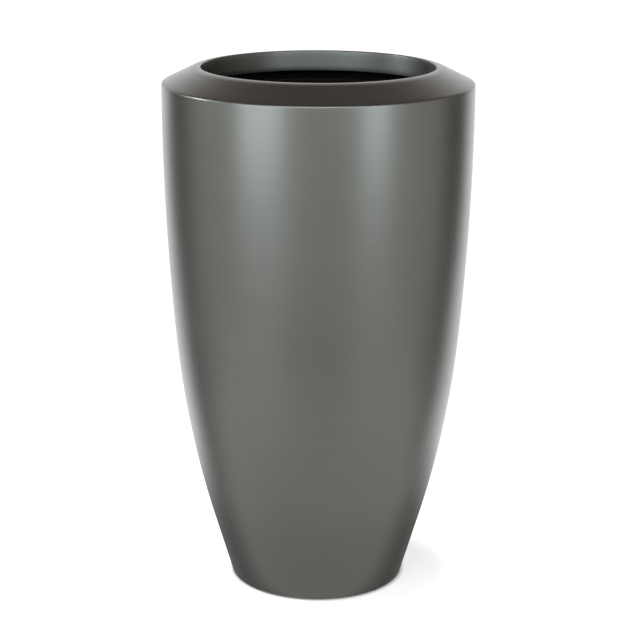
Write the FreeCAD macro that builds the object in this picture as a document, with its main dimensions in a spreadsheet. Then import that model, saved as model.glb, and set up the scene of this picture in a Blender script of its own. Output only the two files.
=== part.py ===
import FreeCAD, Part
import math
import os
from collections import namedtuple
from types import SimpleNamespace

import Sketcher
from FreeCAD import Rotation, Vector

# A tall round floor planter in hand-laid laminate: a barrel with a bonded collar, a lift-out
# shelf on four cleats, a drain plug and rubber feet. Millimetres, +Z up, the planter's own
# axis on Z, the feet standing on Z = 0.

SIZES = {
    # overall form
    "overall_height": 914.0,        # floor to the crest of the rim
    "shoulder_dia": 533.0,          # the widest place, at the shoulder edge
    "mouth_dia": 400.0,             # clear opening inside the lip
    "base_dia": 305.0,              # the foot, where it meets the floor
    "wall": 5.0,
    # barrel outline: straight foot, belly arc, flatter upper arc, straight land for the joint
    "foot_length": 112.0,
    "belly_radius": 1716.0,
    "belly_height": 442.0,          # where the upper arc takes over
    "floor_thickness": 6.0,
    "floor_corner": 12.0,           # bevel laid in where the wall meets the floor
    "foot_ring_width": 22.0,
    "foot_recess": 8.0,
    "recess_corner": 4.0,
    "foot_edge": 1.5,
    # collar
    "collar_rise": 27.3,            # shoulder corner to the crest of the rim
    "shoulder_edge_radius": 5.0,
    "rim_roll_width": 16.0,
    "rim_edge_radius": 2.0,
    "lip_depth": 36.0,
    "lip_end_edge": 1.0,
    "lip_root": 4.0,
    "seam_drop": 6.0,               # shoulder corner down to the joint
    "spigot_depth": 25.0,
    "spigot_root": 6.0,
    "bond_gap": 1.2,
    "bond_bead": 3.5,
    # shelf and its cleats
    "shelf_mouth_clearance": 8.0,   # radial, as the shelf passes the lip
    "shelf_wall_gap": 3.0,          # radial, where the shelf rests
    "shelf_thickness": 5.0,
    "shelf_rim_height": 9.0,
    "shelf_rim_width": 4.0,
    "shelf_edge": 1.0,
    "shelf_rib_depth": 12.0,
    "shelf_rib_width": 4.0,
    "shelf_rib_count": 8,
    "shelf_hub_dia": 84.0,
    "shelf_ring_clearance": 6.0,    # ring rib to the nose of a cleat
    "shelf_hole_dia": 10.0,
    "shelf_hole_count": 16,
    "shelf_hole_offset": 26.0,      # hub to the ring of drain holes
    "finger_hole_dia": 32.0,
    "finger_hole_margin": 12.0,     # ring rib to the edge of a finger hole
    "cleat_reach": 28.0,
    "cleat_height": 36.0,
    "cleat_nose": 9.0,
    "cleat_toe": 6.0,
    "cleat_angle": 14.0,
    "cleat_edge": 2.5,
    "cleat_count": 4,
    # drain plug
    "drain_dia": 25.0,
    "drain_chamfer": 1.0,
    "plug_clearance": 0.1,
    "plug_head_dia": 42.0,
    "plug_head_height": 5.0,
    "plug_edge": 1.5,
    "plug_shank_length": 10.0,
    "plug_nose_chamfer": 2.0,
    "plug_lug_width": 22.0,
    "plug_lug_height": 18.0,
    "plug_lug_thickness": 5.0,
    "plug_lug_hole": 10.0,
    # feet
    "pad_dia": 16.0,
    "pad_height": 2.5,
    "pad_count": 4,
}

FIRST_TURN = 45.0                   # cleats and feet start this far round, in degrees

# Heights and radii that several pieces share, as expressions on the sheet.
LIP_RADIUS = "Sizes.mouth_dia / 2"
SHOULDER_RADIUS = "Sizes.shoulder_dia / 2"
BASE_RADIUS = "Sizes.base_dia / 2"
SEAM_HEIGHT = "Sizes.overall_height - Sizes.collar_rise - Sizes.seam_drop"
LAND_HEIGHT = SEAM_HEIGHT + " - Sizes.spigot_depth"
SPIGOT_RADIUS = SHOULDER_RADIUS + " - Sizes.wall - Sizes.bond_gap"
RECESS_HEIGHT = "Sizes.pad_height + Sizes.foot_recess"
FLOOR_HEIGHT = RECESS_HEIGHT + " + Sizes.floor_thickness"
SHELF_RADIUS = LIP_RADIUS + " - Sizes.shelf_mouth_clearance"
SEAT_RADIUS = SHELF_RADIUS + " + Sizes.shelf_wall_gap"
SEAT_HEIGHT = "ShellSection.Constraints.seat_height"
CLEAT_FOOT_RADIUS = "ShellSection.Constraints.cleat_foot_radius / 1 mm"

ORIGIN = (-1, 1)
UPRIGHT_AXIS = -2
CENTRE = 3

Edge = namedtuple("Edge", "number start end")
guess = SimpleNamespace(**SIZES)

doc = FreeCAD.newDocument("planter")
sheet = doc.addObject("Spreadsheet::Sheet", "Sizes")
for row, (alias, value) in enumerate(SIZES.items(), 1):
    sheet.set(f"A{row}", alias)
    sheet.set(f"B{row}", str(value))
    sheet.setAlias(f"B{row}", alias)
doc.recompute()


class Outline:
    """A closed outline drawn edge by edge in a sketch, starting at a radius and a height."""

    def __init__(self, sketch, radius, height):
        self.sketch = sketch
        self.here = Vector(radius, height, 0)
        self.edges = []

    def line(self, radius, height, smooth=False):
        end = Vector(radius, height, 0)
        number = self.sketch.addGeometry(Part.LineSegment(self.here, end))
        return self._join(Edge(number, (number, 1), (number, 2)), end, smooth)

    def upright(self, height, smooth=False):
        edge = self.line(self.here.x, height, smooth)
        self.sketch.addConstraint(Sketcher.Constraint("Vertical", edge.number))
        return edge

    def level(self, radius, smooth=False):
        edge = self.line(radius, self.here.y, smooth)
        self.sketch.addConstraint(Sketcher.Constraint("Horizontal", edge.number))
        return edge

    def arc(self, radius, height, centre, anticlockwise=True, smooth=True):
        end = Vector(radius, height, 0)
        first = self.here - centre
        last = end - centre
        start_angle = math.atan2(first.y, first.x)
        end_angle = math.atan2(last.y, last.x)
        circle = Part.Circle(centre, Vector(0, 0, 1), first.Length)
        if anticlockwise:
            number = self.sketch.addGeometry(Part.ArcOfCircle(circle, start_angle, end_angle))
            edge = Edge(number, (number, 1), (number, 2))
        else:
            number = self.sketch.addGeometry(Part.ArcOfCircle(circle, end_angle, start_angle))
            edge = Edge(number, (number, 2), (number, 1))
        return self._join(edge, end, smooth)

    def close(self, smooth=False):
        kind = "Tangent" if smooth else "Coincident"
        link = Sketcher.Constraint(kind, *self.edges[-1].end, *self.edges[0].start)
        self.sketch.addConstraint(link)

    def _join(self, edge, end, smooth):
        if self.edges:
            kind = "Tangent" if smooth else "Coincident"
            link = Sketcher.Constraint(kind, *self.edges[-1].end, *edge.start)
            self.sketch.addConstraint(link)
        self.edges.append(edge)
        self.here = end
        return edge


def new_body(label):
    body = doc.addObject("PartDesign::Body", label)
    body.Label = label
    return body


def new_sketch(body, name, plane_role):
    sketch = body.newObject("Sketcher::SketchObject", name)
    plane = next(item for item in body.Origin.OriginFeatures if item.Role == plane_role)
    sketch.AttachmentSupport = (plane, [""])
    sketch.MapMode = "FlatFace"
    return sketch


def hold(sketch, kind, *picks):
    sketch.addConstraint(Sketcher.Constraint(kind, *picks))


def size(sketch, name, expression, kind, *picks):
    """Add a named dimension to a sketch and drive it from the sheet."""
    value = float(sketch.evalExpression(expression))
    index = sketch.addConstraint(Sketcher.Constraint(kind, *picks, value))
    sketch.renameConstraint(index, name)
    sketch.setExpression(f"Constraints.{name}", expression)


def read_out(sketch, name, kind, *picks):
    """Add a named dimension that follows the sketch, for other pieces to read."""
    index = sketch.addConstraint(Sketcher.Constraint(kind, *picks, 1.0))
    sketch.setDriving(index, False)
    sketch.renameConstraint(index, name)


def revolve(body, sketch, name, angle=None):
    feature = body.newObject("PartDesign::Revolution", name)
    feature.Profile = sketch
    feature.ReferenceAxis = (sketch, ["V_Axis"])
    feature.Angle = 360
    if angle:
        feature.Midplane = True
        feature.setExpression("Angle", angle)
    finish_feature(sketch)
    return feature


def pad(body, sketch, name, length, downward=False):
    feature = body.newObject("PartDesign::Pad", name)
    feature.Profile = sketch
    feature.Reversed = downward
    feature.setExpression("Length", length)
    finish_feature(sketch)
    return feature


def cut_upward(body, sketch, name):
    before = body.Shape.Volume
    feature = body.newObject("PartDesign::Pocket", name)
    feature.Profile = sketch
    feature.Type = "ThroughAll"
    feature.Reversed = True
    finish_feature(sketch)
    if feature.Shape.Volume >= before:
        raise RuntimeError(f"{name} cuts nothing")
    return feature


def polar_copies(body, feature, name, count):
    pattern = body.newObject("PartDesign::PolarPattern", name)
    pattern.Originals = [feature]
    pattern.Axis = (feature.Profile[0], ["N_Axis"])
    pattern.Angle = 360
    pattern.setExpression("Occurrences", count)
    body.Tip = pattern
    doc.recompute()
    return pattern


def ring_names(feature, wanted):
    """Names of the circular edges about the upright axis that wanted(radius, height) picks."""
    names = []
    for number, edge in enumerate(feature.Shape.Edges, 1):
        if not isinstance(edge.Curve, Part.Circle):
            continue
        centre = edge.Curve.Center
        if math.hypot(centre.x, centre.y) < 0.01 and wanted(edge.Curve.Radius, centre.z):
            names.append(f"Edge{number}")
    if not names:
        raise RuntimeError(f"{feature.Name} has no such edge")
    return names


def chamfer(body, feature, name, width, edges):
    cut = body.newObject("PartDesign::Chamfer", name)
    cut.Base = (feature, edges)
    cut.setExpression("Size", width)
    doc.recompute()
    return cut


def chamfer_rings(body, feature, name, width, wanted):
    return chamfer(body, feature, name, width, ring_names(feature, wanted))


def finish_feature(sketch):
    sketch.Visibility = False
    doc.recompute()
    if not sketch.FullyConstrained:
        raise RuntimeError(f"{sketch.Name} isn't fully constrained")


def measure(expression):
    return float(sheet.evalExpression(expression))


def near(value, expression):
    return abs(value - measure(expression)) < 0.01


def planter_shell():
    """Barrel and floor in one moulding, widest at the top so that it draws out of its mould."""
    body = new_body("planter_shell")
    sketch = new_sketch(body, "ShellSection", "XZ_Plane")
    base = measure(BASE_RADIUS)
    shoulder = measure(SHOULDER_RADIUS)
    land = measure(LAND_HEIGHT)
    floor = measure(FLOOR_HEIGHT)

    # First guess at the two angles from the upright, for small angles; the sketch closes them.
    turn = (guess.belly_height - guess.pad_height - guess.foot_length) / guess.belly_radius
    spread = shoulder - base - guess.belly_radius * turn**2 / 2 - guess.foot_length * turn
    reach = (land - guess.belly_height) / 2 + guess.belly_radius * turn + guess.foot_length
    upper_angle = spread / reach
    foot_angle = upper_angle + turn
    upper_radius = (land - guess.belly_height) / math.sin(upper_angle)
    upper_centre = Vector(shoulder - upper_radius, land, 0)
    upper_out = Vector(math.cos(upper_angle), -math.sin(upper_angle), 0)
    foot_out = Vector(math.cos(foot_angle), -math.sin(foot_angle), 0)
    belly_top = upper_centre + upper_out * upper_radius
    belly_centre = belly_top - upper_out * guess.belly_radius
    foot_top = belly_centre + foot_out * guess.belly_radius
    inner_belly_top = belly_top - upper_out * guess.wall
    inner_foot_top = foot_top - foot_out * guess.wall
    inner_foot = inner_foot_top.x - (inner_foot_top.y - floor) * math.tan(foot_angle)

    outline = Outline(sketch, base, guess.pad_height)
    foot = outline.line(foot_top.x, foot_top.y)
    belly = outline.arc(belly_top.x, belly_top.y, belly_centre)
    upper = outline.arc(shoulder, land, upper_centre)
    joint_land = outline.upright(measure(SEAM_HEIGHT), smooth=True)
    outline.level(shoulder - guess.wall)
    inner_land = outline.upright(land)
    inner_upper = outline.arc(inner_belly_top.x, inner_belly_top.y, upper_centre, False)
    inner_belly = outline.arc(inner_foot_top.x, inner_foot_top.y, belly_centre, False)
    inner_foot_line = outline.line(inner_foot, floor, smooth=True)
    floor_top = outline.level(0)
    outline.upright(measure(RECESS_HEIGHT))
    recess_roof = outline.level(base - guess.foot_ring_width)
    outline.upright(guess.pad_height)
    ring_face = outline.level(base)
    outline.close()
    hold(sketch, "Coincident", belly.number, CENTRE, inner_belly.number, CENTRE)
    hold(sketch, "Coincident", upper.number, CENTRE, inner_upper.number, CENTRE)
    hold(sketch, "Parallel", foot.number, inner_foot_line.number)
    hold(sketch, "PointOnObject", *floor_top.end, UPRIGHT_AXIS)

    size(sketch, "base_radius", BASE_RADIUS, "DistanceX", *ORIGIN, *foot.start)
    size(sketch, "foot_height", "Sizes.pad_height", "DistanceY", *ORIGIN, *foot.start)
    size(sketch, "foot_length", "Sizes.foot_length", "Distance", foot.number)
    size(sketch, "belly_radius", "Sizes.belly_radius", "Radius", belly.number)
    size(sketch, "belly_height", "Sizes.belly_height", "DistanceY", *ORIGIN, *belly.end)
    size(sketch, "shoulder_radius", SHOULDER_RADIUS, "DistanceX", *ORIGIN, *joint_land.start)
    size(sketch, "land_height", LAND_HEIGHT, "DistanceY", *ORIGIN, *joint_land.start)
    size(sketch, "seam_height", SEAM_HEIGHT, "DistanceY", *ORIGIN, *joint_land.end)
    size(sketch, "wall", "Sizes.wall", "DistanceX", *inner_land.start, *joint_land.end)
    size(sketch, "floor_height", FLOOR_HEIGHT, "DistanceY", *ORIGIN, *floor_top.start)
    size(sketch, "recess_height", RECESS_HEIGHT, "DistanceY", *ORIGIN, *recess_roof.end)
    size(sketch, "ring_width", "Sizes.foot_ring_width",
         "DistanceX", *ring_face.start, *ring_face.end)

    # Two marks on the inner wall: where the shelf's seat comes, and the lower end of a cleat.
    seat_mark = sketch.addGeometry(Part.Point(Vector(measure(SEAT_RADIUS), floor + 150, 0)), True)
    foot_mark = sketch.addGeometry(Part.Point(Vector(measure(SEAT_RADIUS), floor + 110, 0)), True)
    hold(sketch, "PointOnObject", seat_mark, 1, inner_belly.number)
    hold(sketch, "PointOnObject", foot_mark, 1, inner_belly.number)
    size(sketch, "seat_radius", SEAT_RADIUS, "DistanceX", *ORIGIN, seat_mark, 1)
    size(sketch, "cleat_height", "Sizes.cleat_height", "DistanceY", foot_mark, 1, seat_mark, 1)
    read_out(sketch, "seat_height", "DistanceY", *ORIGIN, seat_mark, 1)
    read_out(sketch, "cleat_foot_radius", "DistanceX", *ORIGIN, foot_mark, 1)

    shell = revolve(body, sketch, "ShellSolid")
    shell = chamfer_rings(body, shell, "FloorCorner", "Sizes.floor_corner",
                          lambda radius, height: near(height, FLOOR_HEIGHT))
    shell = chamfer_rings(body, shell, "RecessCorner", "Sizes.recess_corner",
                          lambda radius, height: near(height, RECESS_HEIGHT))
    chamfer_rings(body, shell, "FootEdges", "Sizes.foot_edge",
                  lambda radius, height: near(height, "Sizes.pad_height"))
    hole = new_sketch(body, "DrainSection", "XY_Plane")
    circle = hole.addGeometry(Part.Circle(Vector(), Vector(0, 0, 1), guess.drain_dia / 2))
    hold(hole, "Coincident", circle, CENTRE, *ORIGIN)
    size(hole, "drain_dia", "Sizes.drain_dia", "Diameter", circle)
    drain = cut_upward(body, hole, "DrainHole")
    chamfer_rings(body, drain, "DrainLead", "Sizes.drain_chamfer",
                  lambda radius, height: near(radius, "Sizes.drain_dia / 2")
                  and near(height, RECESS_HEIGHT))
    return body


def shoulder_collar():
    """Shoulder edge, sloped face, rolled rim and turned-down lip, with a spigot for the barrel."""
    body = new_body("shoulder_collar")
    sketch = new_sketch(body, "CollarSection", "XZ_Plane")
    shoulder = measure(SHOULDER_RADIUS)
    lip = measure(LIP_RADIUS)
    crest = lip + guess.rim_edge_radius
    seam = measure(SEAM_HEIGHT)
    top = guess.overall_height
    corner = Vector(shoulder, top - guess.collar_rise, 0)

    # First guess at the slope from the level.
    slope = math.atan(guess.collar_rise / (shoulder - crest - guess.rim_roll_width / 2))
    out = Vector(math.sin(slope), math.cos(slope), 0)
    edge_tangent = guess.shoulder_edge_radius * math.tan(math.pi / 4 - slope / 2)
    edge_centre = Vector(shoulder - guess.shoulder_edge_radius, corner.y - edge_tangent, 0)
    edge_end = edge_centre + out * guess.shoulder_edge_radius
    roll_radius = guess.rim_roll_width / math.sin(slope)
    roll_centre = Vector(crest, top - roll_radius, 0)
    roll_start = roll_centre + out * roll_radius
    rim_centre = Vector(crest, top - guess.rim_edge_radius, 0)
    under_start = roll_centre + out * (roll_radius - guess.wall)
    under_end = Vector(lip + guess.wall, top - guess.wall, 0)
    spigot = measure(SPIGOT_RADIUS)
    spigot_inner = spigot - guess.wall
    root = under_start.y - (spigot_inner - under_start.x) * math.tan(slope)

    outline = Outline(sketch, shoulder, seam)
    skirt = outline.upright(edge_centre.y)
    edge = outline.arc(edge_end.x, edge_end.y, edge_centre)
    face = outline.line(roll_start.x, roll_start.y, smooth=True)
    roll = outline.arc(crest, top, roll_centre)
    rim = outline.arc(lip, rim_centre.y, rim_centre)
    lip_face = outline.upright(top - guess.lip_depth, smooth=True)
    lip_end = outline.level(lip + guess.wall)
    outline.upright(under_end.y)
    under_roll = outline.arc(under_start.x, under_start.y, roll_centre, False, smooth=False)
    under_face = outline.line(spigot_inner, root, smooth=True)
    outline.upright(seam - guess.spigot_depth)
    spigot_end = outline.level(spigot)
    spigot_face = outline.upright(seam)
    outline.level(shoulder)
    outline.close()
    corner_mark = sketch.addGeometry(Part.Point(corner), True)
    hold(sketch, "PointOnObject", corner_mark, 1, face.number)
    hold(sketch, "Vertical", roll.number, CENTRE, rim.number, CENTRE)
    hold(sketch, "Coincident", roll.number, CENTRE, under_roll.number, CENTRE)
    hold(sketch, "Parallel", face.number, under_face.number)

    size(sketch, "shoulder_radius", SHOULDER_RADIUS, "DistanceX", *ORIGIN, *skirt.start)
    size(sketch, "seam_height", SEAM_HEIGHT, "DistanceY", *ORIGIN, *skirt.start)
    size(sketch, "corner_radius", SHOULDER_RADIUS, "DistanceX", *ORIGIN, corner_mark, 1)
    size(sketch, "corner_height", "Sizes.overall_height - Sizes.collar_rise",
         "DistanceY", *ORIGIN, corner_mark, 1)
    size(sketch, "edge_radius", "Sizes.shoulder_edge_radius", "Radius", edge.number)
    size(sketch, "roll_width", "Sizes.rim_roll_width", "DistanceX", *roll.end, *roll.start)
    size(sketch, "top_height", "Sizes.overall_height", "DistanceY", *ORIGIN, *roll.end)
    size(sketch, "rim_radius", "Sizes.rim_edge_radius", "Radius", rim.number)
    size(sketch, "lip_radius", LIP_RADIUS, "DistanceX", *ORIGIN, *lip_face.start)
    size(sketch, "lip_end_height", "Sizes.overall_height - Sizes.lip_depth",
         "DistanceY", *ORIGIN, *lip_face.end)
    size(sketch, "lip_wall", "Sizes.wall", "DistanceX", *lip_end.start, *lip_end.end)
    size(sketch, "face_wall", "Sizes.wall", "Distance", *under_face.start, face.number)
    size(sketch, "spigot_radius", SPIGOT_RADIUS, "DistanceX", *ORIGIN, *spigot_end.end)
    size(sketch, "spigot_wall", "Sizes.wall", "DistanceX", *spigot_end.start, *spigot_end.end)
    size(sketch, "spigot_depth", "Sizes.spigot_depth",
         "DistanceY", *spigot_face.start, *spigot_face.end)

    collar = revolve(body, sketch, "CollarSolid")
    lip_back = LIP_RADIUS + " + Sizes.wall"
    spigot_back = SPIGOT_RADIUS + " - Sizes.wall"
    seam_middle = seam - guess.spigot_depth / 2
    collar = chamfer_rings(body, collar, "LipRoot", "Sizes.lip_root",
                           lambda radius, height: near(radius, lip_back) and height > corner.y)
    collar = chamfer_rings(body, collar, "SpigotRoot", "Sizes.spigot_root",
                           lambda radius, height: near(radius, spigot_back) and height > seam_middle)
    chamfer_rings(body, collar, "LipEnd", "Sizes.lip_end_edge",
                  lambda radius, height: near(height, "Sizes.overall_height - Sizes.lip_depth"))
    return body


def collar_bond():
    """Bonding paste in the lap joint, wiped to a slope under the end of the spigot."""
    body = new_body("collar_bond")
    sketch = new_sketch(body, "BondSection", "XZ_Plane")
    spigot = measure(SPIGOT_RADIUS)
    seam = measure(SEAM_HEIGHT)
    spigot_end = measure(LAND_HEIGHT)
    outside = spigot + guess.bond_gap

    outline = Outline(sketch, spigot, seam)
    film = outline.upright(spigot_end)
    bead = outline.level(spigot - guess.bond_bead)
    wiped = outline.line(outside, spigot_end - guess.bond_bead - guess.bond_gap)
    outer = outline.upright(seam)
    outline.level(spigot)
    outline.close()
    size(sketch, "spigot_radius", SPIGOT_RADIUS, "DistanceX", *ORIGIN, *film.start)
    size(sketch, "seam_height", SEAM_HEIGHT, "DistanceY", *ORIGIN, *film.start)
    size(sketch, "film_depth", "Sizes.spigot_depth", "DistanceY", *film.end, *film.start)
    size(sketch, "bead", "Sizes.bond_bead", "DistanceX", *bead.end, *bead.start)
    size(sketch, "gap", "Sizes.bond_gap", "DistanceX", *film.start, *outer.end)
    size(sketch, "wiped_depth", "Sizes.bond_bead + Sizes.bond_gap",
         "DistanceY", *wiped.end, *wiped.start)
    revolve(body, sketch, "BondRing")
    return body


def shelf_cleat(number):
    """Gusset bonded to the barrel wall. Its top is level and carries the shelf."""
    body = new_body(f"shelf_cleat_{number}")
    sketch = new_sketch(body, f"CleatSection{number}", "XZ_Plane")
    seat = measure(SEAT_RADIUS)
    foot = measure(CLEAT_FOOT_RADIUS)
    nose = seat - guess.cleat_reach

    outline = Outline(sketch, foot, -guess.cleat_height)
    back = outline.line(seat, 0)
    top = outline.level(nose)
    front = outline.upright(-guess.cleat_nose)
    outline.line(foot - guess.cleat_toe, -guess.cleat_height)
    toe = outline.level(foot)
    outline.close()
    size(sketch, "seat_radius", SEAT_RADIUS, "DistanceX", *ORIGIN, *back.end)
    hold(sketch, "Horizontal", *ORIGIN, *back.end)
    size(sketch, "foot_radius", CLEAT_FOOT_RADIUS, "DistanceX", *ORIGIN, *back.start)
    size(sketch, "cleat_height", "Sizes.cleat_height", "DistanceY", *back.start, *back.end)
    size(sketch, "reach", "Sizes.cleat_reach", "DistanceX", *top.end, *top.start)
    size(sketch, "nose", "Sizes.cleat_nose", "DistanceY", *front.end, *front.start)
    size(sketch, "toe", "Sizes.cleat_toe", "DistanceX", *toe.start, *toe.end)
    block = revolve(body, sketch, f"CleatBlock{number}", angle="Sizes.cleat_angle")
    corners = [f"Edge{index}" for index, edge in enumerate(block.Shape.Edges, 1) if is_upright(edge)]
    chamfer(body, block, f"CleatCorners{number}", "Sizes.cleat_edge", corners)
    turn = FIRST_TURN + 360 / guess.cleat_count * (number - 1)
    body.Placement.Rotation = Rotation(Vector(0, 0, 1), turn)
    body.setExpression("Placement.Base.z", SEAT_HEIGHT)
    doc.recompute()
    return body


def is_upright(edge):
    first, last = (vertex.Point for vertex in (edge.Vertexes[0], edge.Vertexes[-1]))
    level_distance = math.hypot(last.x - first.x, last.y - first.y)
    return level_distance < 0.01 < abs(last.z - first.z)


def planting_shelf():
    """Lift-out false bottom: a ribbed disc with an upturned rim, drain holes and finger holes."""
    body = new_body("planting_shelf")
    plate = new_sketch(body, "PlateSection", "XY_Plane")
    concentric_circles(plate, [("shelf_radius", SHELF_RADIUS)])
    pad(body, plate, "Plate", "Sizes.shelf_thickness")

    rim = new_sketch(body, "RimSection", "XY_Plane")
    concentric_circles(rim, [("outside", SHELF_RADIUS),
                             ("inside", SHELF_RADIUS + " - Sizes.shelf_rim_width")])
    shelf = pad(body, rim, "Rim", "Sizes.shelf_thickness + Sizes.shelf_rim_height")
    chamfer_rings(body, shelf, "RimEdges", "Sizes.shelf_edge",
                  lambda radius, height: near(height, "Sizes.shelf_thickness + Sizes.shelf_rim_height"))

    ring_outside = SEAT_RADIUS + " - Sizes.cleat_reach - Sizes.shelf_ring_clearance"
    ring_inside = ring_outside + " - Sizes.shelf_rib_width"
    hub_outside = "Sizes.shelf_hub_dia / 2"
    hub_inside = hub_outside + " - Sizes.shelf_rib_width"
    rings = new_sketch(body, "RingRibSection", "XY_Plane")
    concentric_circles(rings, [("ring_outside", ring_outside), ("ring_inside", ring_inside),
                               ("hub_outside", hub_outside), ("hub_inside", hub_inside)])
    pad(body, rings, "RingRibs", "Sizes.shelf_rib_depth", downward=True)

    spoke = new_sketch(body, "SpokeSection", "XY_Plane")
    half = guess.shelf_rib_width / 2
    inner_end = measure(hub_inside) + half
    outer_end = measure(ring_inside) + half
    outline = Outline(spoke, inner_end, -half)
    lower = outline.level(outer_end)
    outer = outline.upright(half)
    outline.level(inner_end)
    outline.upright(-half)
    outline.close()
    size(spoke, "inner_end", hub_inside + " + Sizes.shelf_rib_width / 2",
         "DistanceX", *ORIGIN, *lower.start)
    size(spoke, "outer_end", ring_inside + " + Sizes.shelf_rib_width / 2",
         "DistanceX", *ORIGIN, *lower.end)
    size(spoke, "width", "Sizes.shelf_rib_width", "DistanceY", *outer.start, *outer.end)
    size(spoke, "half_width", "Sizes.shelf_rib_width / 2", "DistanceY", *lower.start, *ORIGIN)
    rib = pad(body, spoke, "Spoke", "Sizes.shelf_rib_depth", downward=True)
    polar_copies(body, rib, "Spokes", "Sizes.shelf_rib_count")

    # Drain holes ring the hub, clear of the spokes.
    drain = new_sketch(body, "ShelfHoleSection", "XY_Plane")
    half_step = math.pi / guess.shelf_hole_count
    one_circle(drain, "Sizes.shelf_hole_dia", hub_outside + " + Sizes.shelf_hole_offset", half_step)
    hole = cut_upward(body, drain, "ShelfHole")
    polar_copies(body, hole, "ShelfHoles", "Sizes.shelf_hole_count")

    # Two finger holes face each other, halfway between spokes.
    finger = new_sketch(body, "FingerHoleSection", "XY_Plane")
    between_spokes = math.pi / guess.shelf_rib_count
    finger_distance = ring_inside + " - Sizes.finger_hole_margin - Sizes.finger_hole_dia / 2"
    one_circle(finger, "Sizes.finger_hole_dia", finger_distance, between_spokes)
    hole = cut_upward(body, finger, "FingerHole")
    polar_copies(body, hole, "FingerHoles", "2")
    body.setExpression("Placement.Base.z", SEAT_HEIGHT)
    doc.recompute()
    return body


def concentric_circles(sketch, radii):
    for name, radius in radii:
        circle = sketch.addGeometry(Part.Circle(Vector(), Vector(0, 0, 1), measure(radius)))
        hold(sketch, "Coincident", circle, CENTRE, *ORIGIN)
        size(sketch, name, radius, "Radius", circle)


def one_circle(sketch, diameter, distance, turn):
    """A circle at a distance from the axis, at an angle round it in radians."""
    centre = Vector(math.cos(turn), math.sin(turn), 0) * measure(distance)
    circle = sketch.addGeometry(Part.Circle(centre, Vector(0, 0, 1), measure(diameter) / 2))
    across = f"({distance}) * cos({math.degrees(turn)} deg)"
    along = f"({distance}) * sin({math.degrees(turn)} deg)"
    size(sketch, "across", across, "DistanceX", *ORIGIN, circle, CENTRE)
    size(sketch, "along", along, "DistanceY", *ORIGIN, circle, CENTRE)
    size(sketch, "diameter", diameter, "Diameter", circle)


def drain_plug():
    """Rubber stopper: a shank in the drain hole, a head on the floor and a lug to pull."""
    body = new_body("drain_plug")
    sketch = new_sketch(body, "PlugSection", "XZ_Plane")
    shank = guess.drain_dia / 2 - guess.plug_clearance
    head = guess.plug_head_dia / 2
    tip = shank - guess.plug_nose_chamfer

    outline = Outline(sketch, 0, -guess.plug_shank_length)
    nose = outline.level(tip)
    taper = outline.line(shank, guess.plug_nose_chamfer - guess.plug_shank_length)
    outline.upright(0)
    seat = outline.level(head)
    outline.upright(guess.plug_head_height)
    crown = outline.level(0)
    outline.upright(-guess.plug_shank_length)
    outline.close()
    hold(sketch, "PointOnObject", *nose.start, UPRIGHT_AXIS)
    hold(sketch, "Horizontal", *ORIGIN, *seat.start)
    size(sketch, "shank_radius", "Sizes.drain_dia / 2 - Sizes.plug_clearance",
         "DistanceX", *ORIGIN, *seat.start)
    size(sketch, "head_radius", "Sizes.plug_head_dia / 2", "DistanceX", *ORIGIN, *seat.end)
    size(sketch, "head_height", "Sizes.plug_head_height", "DistanceY", *seat.end, *crown.start)
    size(sketch, "shank_length", "Sizes.plug_shank_length", "DistanceY", *nose.start, *ORIGIN)
    size(sketch, "nose_width", "Sizes.plug_nose_chamfer", "DistanceX", *taper.start, *taper.end)
    size(sketch, "nose_height", "Sizes.plug_nose_chamfer", "DistanceY", *taper.start, *taper.end)
    plug = revolve(body, sketch, "PlugSolid")
    chamfer_rings(body, plug, "PlugHeadEdge", "Sizes.plug_edge",
                  lambda radius, height: near(radius, "Sizes.plug_head_dia / 2")
                  and near(height, "Sizes.plug_head_height"))

    # The lug stands on the head, round at the top, with a hole to hook it by.
    lug = new_sketch(body, "LugSection", "XZ_Plane")
    side = guess.plug_lug_width / 2
    middle = Vector(0, guess.plug_head_height + guess.plug_lug_height - side, 0)
    outline = Outline(lug, side, guess.plug_head_height)
    right = outline.upright(middle.y)
    crown_arc = outline.arc(-side, middle.y, middle)
    outline.upright(guess.plug_head_height, smooth=True)
    foot = outline.level(side)
    outline.close()
    hook = lug.addGeometry(Part.Circle(middle, Vector(0, 0, 1), guess.plug_lug_hole / 2))
    hold(lug, "Coincident", hook, CENTRE, crown_arc.number, CENTRE)
    size(lug, "lug_width", "Sizes.plug_lug_width", "DistanceX", *foot.start, *foot.end)
    size(lug, "half_width", "Sizes.plug_lug_width / 2", "DistanceX", *ORIGIN, *foot.end)
    size(lug, "lug_foot", "Sizes.plug_head_height", "DistanceY", *ORIGIN, *foot.end)
    size(lug, "lug_side", "Sizes.plug_lug_height - Sizes.plug_lug_width / 2",
         "DistanceY", *right.start, *right.end)
    size(lug, "lug_hole", "Sizes.plug_lug_hole", "Diameter", hook)
    tab = body.newObject("PartDesign::Pad", "PullLug")
    tab.Profile = lug
    tab.SideType = "Symmetric"
    tab.setExpression("Length", "Sizes.plug_lug_thickness")
    finish_feature(lug)
    body.setExpression("Placement.Base.z", FLOOR_HEIGHT)
    doc.recompute()
    return body


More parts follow.
